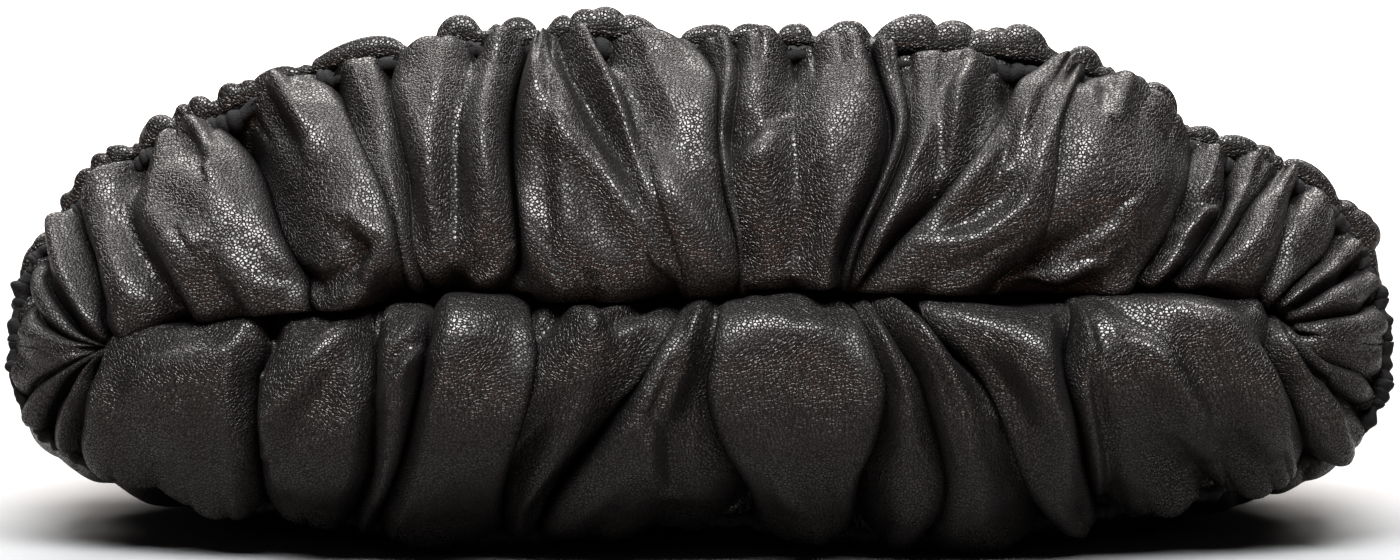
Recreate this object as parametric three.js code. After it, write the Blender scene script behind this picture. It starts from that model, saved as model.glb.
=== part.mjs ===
import * as THREE from 'three';

// A gathered leather pouch bag, lying on its back with its closed mouth towards -Y.
// Millimetres, +X to the right of the mouth, +Z up. The origin is on the flat underside.
// The mouth is a slit between two puffed bands. A gathered elastic seam joins each band to
// a face panel, and a third seam joins the two face panels round the sides and the base.

// Overall form
const seamHalfWidth = 172; // from the middle to the ends of the elastic seams
const mouthHalfWidth = 143; // from the middle to the ends of the mouth
const mouthTipReach = 5; // the last stretch of the mouth, where the folds fan out
const mouthHeight = 62; // middle of the mouth above the surface that the bag lies on
const mouthWave = 10; // unit of the rise and fall of the mouth line
const mouthGap = 6.4; // open slit between the two lips
const mouthY = -70; // front of the slit, at the middle of the bag
const mouthBow = 14; // how far the ends of the mouth lie behind its middle
const facingDepth = 27; // leather turned in behind each lip
const upperRise = 65; // upper elastic seam above the mouth, at the middle
const lowerDrop = 54; // lower elastic seam below the mouth, at the middle
const seamWave = 6; // unit of the rise and fall of the elastic seams
const endDroop = 11; // how far the ends of the seams hang below the mouth's middle
const upperLobe = 26; // how far the upper band puffs out in front of the slit
const lowerLobe = 28; // the same for the lower band
const endLobe = 12; // the same at both ends of the bag
const upperSetback = 17; // upper elastic seam behind the slit, at the middle
const lowerSetback = 3; // lower elastic seam behind the slit, at the middle
const endSetback = 12; // both seams behind the ends of the slit
const baseY = 105; // back of the bag, at its base seam
const baseHeight = 27; // base seam above the surface
const sideBulge = 4; // how far the side seams swell outwards
const endEdge = 14; // short edge where the two face panels meet beside the mouth
const frontTuck = 6; // how far the lower face would sag below the surface that flattens it

// Leather, seams and clasp
const leatherWall = 2.4;
const clearance = 0.4; // gap between neighbouring pieces
const curveAllowance = 0.3; // more gap where the base seam curves past straight mesh edges
const seamWidth = 5;
const seamThickness = 3;
const gatherRipple = 0.5; // how far the seam swells and thins along its gathers
const foldDepth = 8; // deepest crease below the crowns of its pleats
const puffHeight = 5; // how far the gathers of a face panel puff up behind the seam
const claspRadius = 9;
const claspChamfer = 0.8;
const claspSetback = 17; // centre of the clasp behind the front of the slit

// Shape exponents and spreads
const upperRoundness = 2.3; // superellipse exponents of the outlines
const lowerRoundness = 2.5;
const baseRoundness = 2.8;
const upperProfile = 1.6; // side profile of the upper face, lower is straighter
const lowerProfile = 2.6;
const cornerLift = 2.3; // lower it to round the lower corners of the bag further
const fanStart = 1.14; // the mouth ends at 1 / fanStart of the seam's length
const lobeTopAngle = 80; // degrees past the front of a lobe where its seam lies
const upperHang = 1.45; // above 1 the lobe hangs further over the slit
const lowerHang = 1.05;
const endHang = 1.2;
const creaseToWidth = 0.42; // a crease is never deeper than this share of its pleats' width
const wideShare = 0.09; // a pleat wider than this gets a middle column
const seamSteps = 56;
const baseSeamReach = 0.998; // the base seam stops just short of the ends of the mouth

// Height of the mouth line along the bag, as shares of its half length and of mouthWave
const mouthLine = [
  { share: -1.0, rise: -1.0 },
  { share: -0.85, rise: -0.85 },
  { share: -0.6, rise: -0.55 },
  { share: -0.4, rise: -0.2 },
  { share: -0.28, rise: 0.1 },
  { share: -0.08, rise: 0.1 },
  { share: 0.08, rise: 0.1 },
  { share: 0.16, rise: 0.25 },
  { share: 0.3, rise: 0.15 },
  { share: 0.55, rise: 0.1 },
  { share: 0.75, rise: -0.15 },
  { share: 1.0, rise: -0.6 },
];

// Rise and fall of the elastic seams, as shares of the half length and of seamWave
const seamLine = [
  { share: -1.0, upper: 0.0, lower: 0.0 },
  { share: -0.7, upper: 0.0, lower: 0.0 },
  { share: -0.46, upper: -0.2, lower: 0.3 },
  { share: -0.3, upper: 0.4, lower: 0.0 },
  { share: -0.15, upper: 0.6, lower: -0.4 },
  { share: 0.0, upper: 0.2, lower: 0.6 },
  { share: 0.16, upper: 0.0, lower: -0.4 },
  { share: 0.32, upper: 0.3, lower: 0.0 },
  { share: 0.5, upper: -1.0, lower: 0.0 },
  { share: 0.7, upper: 0.2, lower: 0.0 },
  { share: 1.0, upper: 0.0, lower: 0.0 },
];

// Creases of the bands, from the mouth to the elastic seam. The first three columns are
// places along the bag, depth is a share of foldDepth, and start and end bound the crease
// between 0 at the mouth and 1 at the seam.
const upperFolds = [
  { mouth: -0.96, middle: -0.91, seam: -0.83, depth: 0.55, start: 0.1, end: 1 },
  { mouth: -0.9, middle: -0.785, seam: -0.7, depth: 0.8, start: 0, end: 1 },
  { mouth: -0.61, middle: -0.63, seam: -0.585, depth: 0.45, start: 0.2, end: 1 },
  { mouth: -0.39, middle: -0.415, seam: -0.465, depth: 1.0, start: 0, end: 1 },
  { mouth: -0.28, middle: -0.296, seam: -0.338, depth: 0.9, start: 0, end: 1 },
  { mouth: -0.235, middle: -0.23, seam: -0.175, depth: 0.45, start: 0.35, end: 1 },
  { mouth: -0.187, middle: -0.17, seam: -0.127, depth: 0.6, start: 0, end: 1 },
  { mouth: -0.02, middle: -0.03, seam: -0.1, depth: 0.5, start: 0.4, end: 1 },
  { mouth: 0.043, middle: 0.03, seam: -0.005, depth: 0.85, start: 0, end: 1 },
  { mouth: 0.095, middle: 0.086, seam: 0.06, depth: 0.4, start: 0.3, end: 1 },
  { mouth: 0.136, middle: 0.142, seam: 0.15, depth: 0.9, start: 0, end: 1 },
  { mouth: 0.155, middle: 0.2, seam: 0.3, depth: 0.9, start: 0.2, end: 1 },
  { mouth: 0.34, middle: 0.335, seam: 0.345, depth: 0.45, start: 0.4, end: 1 },
  { mouth: 0.455, middle: 0.472, seam: 0.48, depth: 0.9, start: 0, end: 1 },
  { mouth: 0.53, middle: 0.541, seam: 0.542, depth: 0.8, start: 0, end: 1 },
  { mouth: 0.58, middle: 0.575, seam: 0.62, depth: 0.5, start: 0.3, end: 1 },
  { mouth: 0.72, middle: 0.695, seam: 0.665, depth: 0.55, start: 0.1, end: 1 },
  { mouth: 0.77, middle: 0.775, seam: 0.77, depth: 0.6, start: 0.1, end: 1 },
  { mouth: 0.84, middle: 0.845, seam: 0.845, depth: 0.5, start: 0.1, end: 1 },
  { mouth: 0.91, middle: 0.92, seam: 0.92, depth: 0.4, start: 0.1, end: 1 },
];
const lowerFolds = [
  { mouth: -0.96, middle: -0.93, seam: -0.88, depth: 0.45, start: 0.1, end: 1 },
  { mouth: -0.92, middle: -0.86, seam: -0.79, depth: 0.5, start: 0.1, end: 1 },
  { mouth: -0.87, middle: -0.76, seam: -0.66, depth: 0.75, start: 0, end: 1 },
  { mouth: -0.468, middle: -0.45, seam: -0.365, depth: 0.85, start: 0, end: 1 },
  { mouth: -0.328, middle: -0.3, seam: -0.265, depth: 0.85, start: 0, end: 1 },
  { mouth: -0.262, middle: -0.247, seam: -0.225, depth: 0.75, start: 0, end: 1 },
  { mouth: -0.16, middle: -0.148, seam: -0.13, depth: 0.75, start: 0, end: 1 },
  { mouth: -0.008, middle: -0.035, seam: -0.09, depth: 0.8, start: 0, end: 1 },
  { mouth: 0.045, middle: 0.012, seam: 0.02, depth: 0.85, start: 0, end: 1 },
  { mouth: 0.14, middle: 0.152, seam: 0.08, depth: 0.9, start: 0, end: 1 },
  { mouth: 0.165, middle: 0.19, seam: 0.16, depth: 0.6, start: 0.1, end: 1 },
  { mouth: 0.21, middle: 0.255, seam: 0.295, depth: 0.8, start: 0, end: 1 },
  { mouth: 0.375, middle: 0.345, seam: 0.335, depth: 0.8, start: 0, end: 1 },
  { mouth: 0.42, middle: 0.43, seam: 0.47, depth: 0.4, start: 0.1, end: 1 },
  { mouth: 0.76, middle: 0.7, seam: 0.66, depth: 0.6, start: 0.1, end: 1 },
  { mouth: 0.84, middle: 0.86, seam: 0.85, depth: 0.5, start: 0.1, end: 1 },
];

// Creases of the face panels, from the elastic seam to the base seam
const upperFaceFolds = [
  { mouth: -0.9, middle: -0.88, seam: -0.86, depth: 0.4, start: 0, end: 1 },
  { mouth: -0.78, middle: -0.75, seam: -0.72, depth: 0.6, start: 0, end: 0.8 },
  { mouth: -0.63, middle: -0.6, seam: -0.58, depth: 0.5, start: 0, end: 1 },
  { mouth: -0.5, middle: -0.46, seam: -0.45, depth: 0.75, start: 0, end: 0.6 },
  { mouth: -0.36, middle: -0.35, seam: -0.31, depth: 0.5, start: 0, end: 1 },
  { mouth: -0.22, middle: -0.24, seam: -0.19, depth: 0.7, start: 0, end: 0.8 },
  { mouth: -0.1, middle: -0.08, seam: -0.06, depth: 0.55, start: 0, end: 1 },
  { mouth: 0.04, middle: 0.06, seam: 0.07, depth: 0.8, start: 0, end: 0.65 },
  { mouth: 0.17, middle: 0.18, seam: 0.2, depth: 0.5, start: 0, end: 1 },
  { mouth: 0.31, middle: 0.3, seam: 0.32, depth: 0.7, start: 0, end: 0.85 },
  { mouth: 0.44, middle: 0.43, seam: 0.44, depth: 0.5, start: 0, end: 1 },
  { mouth: 0.58, middle: 0.56, seam: 0.57, depth: 0.7, start: 0, end: 0.7 },
  { mouth: 0.72, middle: 0.7, seam: 0.71, depth: 0.5, start: 0, end: 1 },
  { mouth: 0.88, middle: 0.86, seam: 0.86, depth: 0.4, start: 0, end: 1 },
];
const lowerFaceFolds = [
  { mouth: -0.9, middle: -0.87, seam: -0.86, depth: 0.4, start: 0, end: 1 },
  { mouth: -0.76, middle: -0.74, seam: -0.72, depth: 0.5, start: 0, end: 1 },
  { mouth: -0.61, middle: -0.6, seam: -0.57, depth: 0.6, start: 0, end: 0.7 },
  { mouth: -0.45, middle: -0.46, seam: -0.43, depth: 0.45, start: 0, end: 1 },
  { mouth: -0.32, middle: -0.33, seam: -0.3, depth: 0.6, start: 0, end: 0.6 },
  { mouth: -0.2, middle: -0.21, seam: -0.18, depth: 0.4, start: 0, end: 1 },
  { mouth: -0.08, middle: -0.11, seam: -0.08, depth: 0.5, start: 0, end: 0.45 },
  { mouth: 0.07, middle: 0.11, seam: 0.08, depth: 0.4, start: 0, end: 1 },
  { mouth: 0.19, middle: 0.22, seam: 0.2, depth: 0.6, start: 0, end: 0.6 },
  { mouth: 0.33, middle: 0.34, seam: 0.32, depth: 0.4, start: 0, end: 1 },
  { mouth: 0.46, middle: 0.47, seam: 0.45, depth: 0.6, start: 0, end: 0.7 },
  { mouth: 0.6, middle: 0.6, seam: 0.58, depth: 0.45, start: 0, end: 1 },
  { mouth: 0.74, middle: 0.73, seam: 0.72, depth: 0.5, start: 0, end: 0.8 },
  { mouth: 0.88, middle: 0.87, seam: 0.86, depth: 0.4, start: 0, end: 1 },
];

// Places of the mesh rows. Below 0 a band's rows lie on the facing behind the lip.
const bandRows = [-1, 0, 0.1, 0.22, 0.38, 0.54, 0.7, 0.84, 0.95, 1];
const faceRows = [0, 0.05, 0.13, 0.26, 0.42, 0.58, 0.74, 0.88, 1];

const mix = (from, to, share) => from + (to - from) * share;
const clamp01 = (value) => Math.min(1, Math.max(0, value));
const ease = (value) => clamp01(value) ** 2 * (3 - 2 * clamp01(value));
const quarterTurn = Math.PI / 2;

// Smooth value of one column of a table, read at a share of the half length
function tableValue(table, column, share) {
  const last = table.length - 1;
  const found = table.findIndex((row) => row.share >= share);
  const upper = Math.min(last, Math.max(1, found < 0 ? last : found));
  const [before, after] = [table[upper - 1], table[upper]];
  const part = (share - before.share) / (after.share - before.share);
  return mix(before[column], after[column], ease(part));
}

// The mouth line of one band. side is 1 for the upper band and -1 for the lower one.
function mouthPoint(share, side) {
  const size = Math.abs(share);
  const reach = Math.sin(Math.min(size * fanStart, 1) * quarterTurn);
  const halfGap = mix(mouthGap, clearance, size ** 12) / 2;
  return new THREE.Vector3(
    Math.sign(share) * (mouthHalfWidth * reach + mouthTipReach * size ** 7),
    mouthY + mouthBow * reach ** 2,
    mouthHeight + mouthWave * tableValue(mouthLine, 'rise', share) + side * halfGap,
  );
}

// The edge of one band at its elastic seam
function seamPoint(share, side) {
  const across = Math.abs(Math.sin(share * quarterTurn));
  const along = Math.max(0, Math.cos(share * quarterTurn));
  const roundness = side > 0 ? upperRoundness : lowerRoundness;
  const rise = side > 0 ? upperRise : -lowerDrop;
  const wave = seamWave * tableValue(seamLine, side > 0 ? 'upper' : 'lower', share);
  const setback = side > 0 ? upperSetback : lowerSetback;
  return new THREE.Vector3(
    Math.sign(share) * seamHalfWidth * across ** (2 / roundness),
    mouthPoint(share, side).y + mix(setback, endSetback, Math.abs(share) ** 6),
    mouthHeight + rise * along ** (2 / roundness) + wave - endDroop * across ** 4
      + side * clearance / 2,
  );
}

// The base seam, from one end of the mouth round the back to the other end
function basePoint(share) {
  const across = Math.abs(Math.sin(share * quarterTurn));
  const along = Math.max(0, Math.cos(share * quarterTurn));
  const end = seamPoint(1, 1);
  const endY = end.y + seamWidth + 2 * clearance + endEdge;
  const endZ = end.z - clearance / 2;
  return new THREE.Vector3(
    Math.sign(share) * (seamHalfWidth * across ** (2 / baseRoundness)
      + sideBulge * Math.sin(Math.PI * Math.abs(share) ** 3)),
    mix(endY, baseY, along ** (2 / baseRoundness)),
    mix(baseHeight, endZ, across ** 5),
  );
}

// A band's crowns: an arc that leaves the slit forwards, rounds the lobe and meets the seam
function bandForm(share, along, side) {
  const lip = mouthPoint(share, side);
  const edge = seamPoint(share, side);
  if (along < 0) {
    return lip.add(new THREE.Vector3(0, -along * facingDepth, 0));
  }
  const end = Math.abs(share) ** 6;
  const topAngle = THREE.MathUtils.degToRad(lobeTopAngle);
  const angle = mix(-quarterTurn, topAngle, along);
  const turned = (1 + Math.sin(angle)) / (1 + Math.sin(topAngle));
  const climbed = turned ** mix(side > 0 ? upperHang : lowerHang, endHang, end);
  const length = Math.hypot(edge.x - lip.x, edge.z - lip.z) / (side > 0 ? upperRise : lowerDrop);
  const lobe = mix((side > 0 ? upperLobe : lowerLobe) * length, endLobe, end);
  const forward = lobe * Math.cos(angle);
  const pullBack = edge.y - lip.y + lobe * Math.cos(topAngle);
  return new THREE.Vector3(
    mix(lip.x, edge.x, climbed),
    lip.y - forward + pullBack * turned ** 2,
    mix(lip.z, edge.z, climbed),
  );
}

// A face panel's crowns, from behind the elastic seam to the base seam
function faceForm(share, along, side) {
  const start = seamPoint(share, side);
  start.y += seamWidth + 2 * clearance;
  const base = basePoint(share);
  base.z += side * (seamWidth / 2 + clearance + curveAllowance);
  const profile = side > 0 ? upperProfile : lowerProfile;
  const across = Math.sin(clamp01(along) * quarterTurn) ** (2 / profile);
  const height = Math.max(0, Math.cos(clamp01(along) * quarterTurn)) ** (2 / profile);
  const point = start.clone().lerp(base, across);
  if (side > 0) {
    point.z = mix(base.z, start.z, height);
  } else {
    const lowest = mix(-frontTuck, start.z, Math.abs(share) ** cornerLift);
    point.z = mix(base.z, lowest, height) + (start.z - lowest) * (1 - ease(across * 4));
  }
  return point;
}

// Unit normal of a form, pointing into the bag. At the ends it lies level, so that the
// upper and lower pieces meet along one gap.
function inwardNormal(form, share, along, side) {
  const step = 0.004;
  const left = form(Math.max(-1, share - step), along, side);
  const right = form(Math.min(1, share + step), along, side);
  const near = form(share, Math.max(-1, along - step), side);
  const far = form(share, Math.min(1, along + step), side);
  const normal = right.sub(left).cross(far.sub(near)).multiplyScalar(-side);
  const level = 1 - ease((Math.abs(share) - 0.9) / 0.1);
  normal.z *= level;
  return normal.normalize();
}

// Place of a crease along the bag, on a curve through its three given places
function foldPlace(fold, along) {
  const way = clamp01(along);
  return fold.mouth * (1 - way) * (1 - 2 * way) + fold.middle * 4 * way * (1 - way)
    + fold.seam * way * (2 * way - 1);
}

// How deep a crease is at one place on its way from the mouth to the seam
function foldStrength(fold, along) {
  const rising = fold.start > 0 ? ease((along - fold.start) / 0.25) : ease((along + 0.05) / 0.15);
  const falling = fold.end < 1 ? ease((fold.end + 0.2 - along) / 0.3) : 1;
  return fold.depth * rising * falling;
}

// Columns of the mesh: each pleat has its crease and the shoulders of its crown
function pleatColumns(folds) {
  const edges = [-1, 1].map((place) => (
    { mouth: place, middle: place, seam: place, depth: 0, start: 0, end: 1 }
  ));
  const creases = [edges[0], ...folds, edges[1]];
  const columns = [];
  for (let index = 0; index < creases.length - 1; index += 1) {
    const [left, right] = [creases[index], creases[index + 1]];
    const wide = right.middle - left.middle > wideShare;
    const parts = wide ? [0, 0.17, 0.5, 0.83] : [0, 0.22, 0.78];
    columns.push(...parts.map((part) => ({ left, right, part })));
  }
  columns.push({ left: edges[1], right: edges[1], part: 0 });
  return columns;
}

// Outer and inner skins of one panel, as columns of points
function pleatedSkins(form, folds, rows, side, puff) {
  const outer = [];
  const inner = [];
  for (const { left, right, part } of pleatColumns(folds)) {
    const outerColumn = [];
    const innerColumn = [];
    for (const along of rows) {
      const leftPlace = foldPlace(left, along);
      const rightPlace = foldPlace(right, along);
      const share = mix(leftPlace, rightPlace, part);
      const width = form(leftPlace, along, side).distanceTo(form(rightPlace, along, side));
      const limit = left === right ? 0 : width * creaseToWidth;
      const shoulder = part > 0 ? 0.14 * (1 - 2 * Math.abs(part - 0.5)) : 0;
      const strength = part > 0
        ? shoulder * (foldStrength(left, along) + foldStrength(right, along))
        : foldStrength(left, along);
      const atEdge = ease((1 - along) / 0.12) * (rows[0] < 0 ? 1 : ease(along / 0.12));
      const sunk = Math.min(strength * foldDepth, limit) * atEdge;
      const swell = puff * (part > 0 ? 1 : 0.2) * Math.sin(Math.PI * clamp01(along / 0.2))
        * (1 - Math.abs(share) ** 4);
      const normal = inwardNormal(form, share, along, side);
      const skin = form(share, along, side).addScaledVector(normal, sunk - swell);
      skin.z = Math.max(0, skin.z);
      outerColumn.push(skin);
      innerColumn.push(skin.clone().addScaledVector(normal, leatherWall));
    }
    outer.push(outerColumn);
    inner.push(innerColumn);
  }
  return { outer, inner };
}

// A closed mesh from points and quads, with its faces turned outwards
function closedGeometry(points, quads, caps = []) {
  const triangles = quads.flatMap(([a, b, c, d]) => [[a, b, c], [a, c, d]]).concat(caps);
  const volume = triangles.reduce((sum, [a, b, c]) => (
    sum + points[a].dot(points[b].clone().cross(points[c]))
  ), 0);
  const order = volume > 0 ? [0, 1, 2] : [0, 2, 1];
  const geometry = new THREE.BufferGeometry().setFromPoints(points);
  geometry.setIndex(triangles.flatMap((triangle) => order.map((corner) => triangle[corner])));
  geometry.computeVertexNormals();
  return geometry;
}

// A leather wall between its outer and inner skins, closed along its four edges
function wallGeometry({ outer, inner }) {
  const columns = outer.length;
  const rows = outer[0].length;
  const index = (layer, column, row) => (layer * columns + column) * rows + row;
  const quads = [];
  for (let column = 0; column < columns - 1; column += 1) {
    for (let row = 0; row < rows - 1; row += 1) {
      const corners = [[column, row], [column + 1, row], [column + 1, row + 1], [column, row + 1]];
      quads.push(corners.map(([i, j]) => index(0, i, j)));
      const [a, b, c, d] = corners.map(([i, j]) => index(1, i, j));
      quads.push([a, d, c, b]);
    }
    for (const row of [0, rows - 1]) {
      const edge = [index(0, column, row), index(1, column, row),
        index(1, column + 1, row), index(0, column + 1, row)];
      quads.push(row === 0 ? edge : edge.reverse());
    }
  }
  for (let row = 0; row < rows - 1; row += 1) {
    for (const column of [0, columns - 1]) {
      const edge = [index(0, column, row), index(0, column, row + 1),
        index(1, column, row + 1), index(1, column, row)];
      quads.push(column === 0 ? edge : edge.reverse());
    }
  }
  return closedGeometry([...outer.flat(), ...inner.flat()], quads);
}

// A gathered seam: a six-sided strip along a path, swelling and thinning with its gathers
function seamGeometry(frameAt, reach) {
  const sides = [[1, 0], [0.6, 1], [-0.6, 1], [-1, 0], [-0.6, -1], [0.6, -1]];
  const points = [];
  const quads = [];
  for (let step = 0; step <= seamSteps; step += 1) {
    const { centre, across, outward } = frameAt(mix(-reach, reach, step / seamSteps));
    const gathered = step % 2 === 0 || step === seamSteps ? 0 : gatherRipple;
    sides.forEach(([wide, thick], side) => {
      const point = centre.clone().addScaledVector(across, wide * seamWidth / 2);
      points.push(point.addScaledVector(outward, thick * (seamThickness / 2 - gathered)));
      if (step > 0) {
        const next = (side + 1) % sides.length;
        const base = (step - 1) * sides.length;
        quads.push([base + side, base + next, base + sides.length + next, base + sides.length + side]);
      }
    });
  }
  const last = seamSteps * sides.length;
  const fan = [1, 2, 3, 4];
  const caps = fan.map((side) => [0, side + 1, side]);
  return closedGeometry(points, quads, caps.concat(fan.map((side) => [last, last + side, last + side + 1])));
}

// Frame of an elastic seam, which lies between a band's edge and a face panel's edge
function elasticFrame(share, side) {
  const centre = seamPoint(share, side);
  centre.y += seamWidth / 2 + clearance;
  const inward = inwardNormal(bandForm, share, 0.99, side);
  inward.y = 0;
  inward.normalize();
  centre.addScaledVector(inward, leatherWall / 2);
  return { centre, across: new THREE.Vector3(0, 1, 0), outward: inward.negate() };
}

// Frame of the base seam, which lies between the edges of the two face panels
function baseFrame(share) {
  const step = 0.004;
  const centre = basePoint(share);
  const way = basePoint(Math.min(1, share + step)).sub(basePoint(Math.max(-1, share - step)));
  const outward = new THREE.Vector3(-way.y, way.x, 0).normalize();
  centre.addScaledVector(outward, -leatherWall / 2);
  return { centre, across: new THREE.Vector3(0, 0, 1), outward };
}

// The magnetic clasp, one plain disc hidden between the two facings
function claspGeometry() {
  const halfHeight = mouthGap / 2 - clearance;
  const profile = [
    [0, -halfHeight],
    [claspRadius - claspChamfer, -halfHeight],
    [claspRadius, claspChamfer - halfHeight],
    [claspRadius, halfHeight - claspChamfer],
    [claspRadius - claspChamfer, halfHeight],
    [0, halfHeight],
  ].map(([radius, height]) => new THREE.Vector2(radius, height));
  const middle = mouthHeight + mouthWave * tableValue(mouthLine, 'rise', 0);
  return new THREE.LatheGeometry(profile, 20)
    .rotateX(quarterTurn)
    .translate(0, mouthY + claspSetback, middle);
}

const leather = { color: 0x17151a, roughness: 0.48, metalness: 0 };
const elastic = { color: 0x121114, roughness: 0.72, metalness: 0 };
const steel = { color: 0x8c8c90, roughness: 0.35, metalness: 1 };

const group = new THREE.Group();
function addPiece(name, geometry, finish) {
  const mesh = new THREE.Mesh(geometry, new THREE.MeshStandardMaterial(finish));
  mesh.name = name;
  group.add(mesh);
}

for (const [place, side] of [['upper', 1], ['lower', -1]]) {
  const bandFolds = side > 0 ? upperFolds : lowerFolds;
  const faceFolds = side > 0 ? upperFaceFolds : lowerFaceFolds;
  const band = pleatedSkins(bandForm, bandFolds, bandRows, side, 0);
  const face = pleatedSkins(faceForm, faceFolds, faceRows, side, puffHeight);
  addPiece(`mouth_band_${place}`, wallGeometry(band), leather);
  addPiece(`face_panel_${place}`, wallGeometry(face), leather);
  addPiece(`elastic_seam_${place}`, seamGeometry((share) => elasticFrame(share, side), 1), elastic);
}
addPiece('base_seam', seamGeometry(baseFrame, baseSeamReach), elastic);
addPiece('magnetic_clasp', claspGeometry(), steel);

export default group;
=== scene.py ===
import math

import bpy
import numpy as np
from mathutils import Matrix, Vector


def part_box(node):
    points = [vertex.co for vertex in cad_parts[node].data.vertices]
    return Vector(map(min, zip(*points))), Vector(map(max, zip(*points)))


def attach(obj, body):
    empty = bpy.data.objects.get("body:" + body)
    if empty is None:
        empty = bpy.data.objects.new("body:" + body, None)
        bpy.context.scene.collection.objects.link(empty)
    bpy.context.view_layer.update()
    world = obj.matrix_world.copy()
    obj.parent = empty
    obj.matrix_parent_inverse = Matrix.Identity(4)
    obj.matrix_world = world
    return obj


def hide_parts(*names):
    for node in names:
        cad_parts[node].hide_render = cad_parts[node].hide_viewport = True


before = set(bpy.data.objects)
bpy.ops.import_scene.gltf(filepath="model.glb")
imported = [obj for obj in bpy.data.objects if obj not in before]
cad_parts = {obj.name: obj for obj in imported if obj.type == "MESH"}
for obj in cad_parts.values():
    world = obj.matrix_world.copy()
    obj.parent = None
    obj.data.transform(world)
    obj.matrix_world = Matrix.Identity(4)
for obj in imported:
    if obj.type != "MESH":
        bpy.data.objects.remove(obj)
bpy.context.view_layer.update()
bpy.ops.object.select_all(action="DESELECT")
print("frame loaded:", sorted(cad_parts))

mm = 0.001
quarterTurn = math.pi / 2
tiny = 1e-12  # keeps a division from meeting 0
random = np.random.default_rng(41)

# Sizes that every panel shares, taken from the frame where a node shows them
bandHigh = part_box("mouth_band_upper")[1]
claspLow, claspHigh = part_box("magnetic_clasp")
baseSeamLow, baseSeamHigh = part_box("base_seam")
bag = {
    "halfLength": bandHigh.x,
    "mouthHalf": bandHigh.x - 29 * mm,
    "mouthTip": 5 * mm,  # the last stretch of the mouth, where the folds fan out
    "mouthHeight": (claspLow.z + claspHigh.z) / 2 - 1 * mm,
    "mouthWave": 10 * mm,  # a rise of 1 in mouthLine
    "mouthY": (claspLow.y + claspHigh.y) / 2 - 17 * mm,
    "mouthBow": 14 * mm,  # how far the ends of the mouth lie behind its middle
    "lipGap": 0.7 * mm,
    "facing": 27 * mm,  # depth of the leather turned in behind each lip
    "facingGap": claspHigh.z - claspLow.z + 0.8 * mm,  # the clasp lies in it
    "endDroop": 11 * mm, "endGap": 0.1 * mm, "endSetback": 12 * mm,
    "seamWave": 6 * mm,  # a rise of 1 in seamLine
    "seamWidth": 5.8 * mm,
    "baseY": baseSeamHigh.y - 0.5 * mm,
    "baseHeight": baseSeamLow.z + 2.5 * mm,
    "sideBulge": 4 * mm, "endEdge": 14 * mm,
    "wall": 1.6 * mm,
    "fanStart": 1.14,  # above 1, the outer folds crowd together at the end of the mouth
    "topAngle": math.radians(80),  # how far over its top a band rolls
}

mouthLine = np.array([  # place along the bag, rise
    (-1.0, -1.0), (-0.85, -0.85), (-0.6, -0.55), (-0.4, -0.2), (-0.28, 0.1), (-0.08, 0.1),
    (0.08, 0.1), (0.16, 0.25), (0.3, 0.15), (0.55, 0.1), (0.75, -0.15), (1.0, -0.6),
])
seamLine = np.array([  # place along the bag, upper rise, lower rise
    (-1.0, 0.0, 0.0), (-0.7, 0.0, 0.0), (-0.46, -0.2, 0.3), (-0.3, 0.4, 0.0), (-0.15, 0.6, -0.4),
    (0.0, 0.2, 0.6), (0.16, 0.0, -0.4), (0.32, 0.3, 0.0), (0.5, -1.0, 0.0), (0.7, 0.2, 0.0),
    (1.0, 0.0, 0.0),
])


def ease(value):
    value = np.clip(value, 0, 1)
    return value * value * (3 - 2 * value)


def mix(start, end, share):
    return start + (end - start) * share


def tableValue(table, column, share):
    index = np.clip(np.searchsorted(table[:, 0], share, side="left"), 1, len(table) - 1)
    before, after = table[index - 1], table[index]
    part = (share - before[..., 0]) / (after[..., 0] - before[..., 0])
    return mix(before[..., column], after[..., column], ease(part))


def points(x, y, z):
    return np.stack(np.broadcast_arrays(x, y, z), axis=-1)


def mouthPoint(share, side):
    size = np.abs(share)
    reach = np.sin(np.minimum(size * bag["fanStart"], 1) * quarterTurn)
    halfGap = mix(bag["lipGap"], bag["endGap"], size ** 12) / 2
    return points(
        np.sign(share) * (bag["mouthHalf"] * reach + bag["mouthTip"] * size ** 7),
        bag["mouthY"] + bag["mouthBow"] * reach ** 2,
        bag["mouthHeight"] + bag["mouthWave"] * tableValue(mouthLine, 1, share) + side * halfGap,
    )


def seamPoint(share, side, panel):
    across = np.abs(np.sin(share * quarterTurn))
    along = np.maximum(0, np.cos(share * quarterTurn))
    power = 2 / panel["roundness"]
    wave = bag["seamWave"] * tableValue(seamLine, 1 if side > 0 else 2, share)
    setback = mix(panel["setback"], bag["endSetback"], np.abs(share) ** 6)
    return points(
        np.sign(share) * bag["halfLength"] * across ** power,
        mouthPoint(share, side)[..., 1] + setback,
        bag["mouthHeight"] + side * panel["rise"] * along ** power + wave
        - bag["endDroop"] * across ** 4 + side * bag["endGap"] / 2,
    )


def basePoint(share, panel):
    across = np.abs(np.sin(share * quarterTurn))
    along = np.maximum(0, np.cos(share * quarterTurn))
    end = seamPoint(np.array(1.0), 1, panel)
    endY = end[1] + bag["seamWidth"] + bag["endEdge"]
    swell = bag["sideBulge"] * np.sin(math.pi * np.abs(share) ** 3)
    return points(
        np.sign(share) * (bag["halfLength"] * across ** (2 / 2.8) + swell),
        mix(endY, bag["baseY"], along ** (2 / 2.8)),
        mix(bag["baseHeight"], end[2] - bag["endGap"] / 2, across ** 5),
    )


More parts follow.
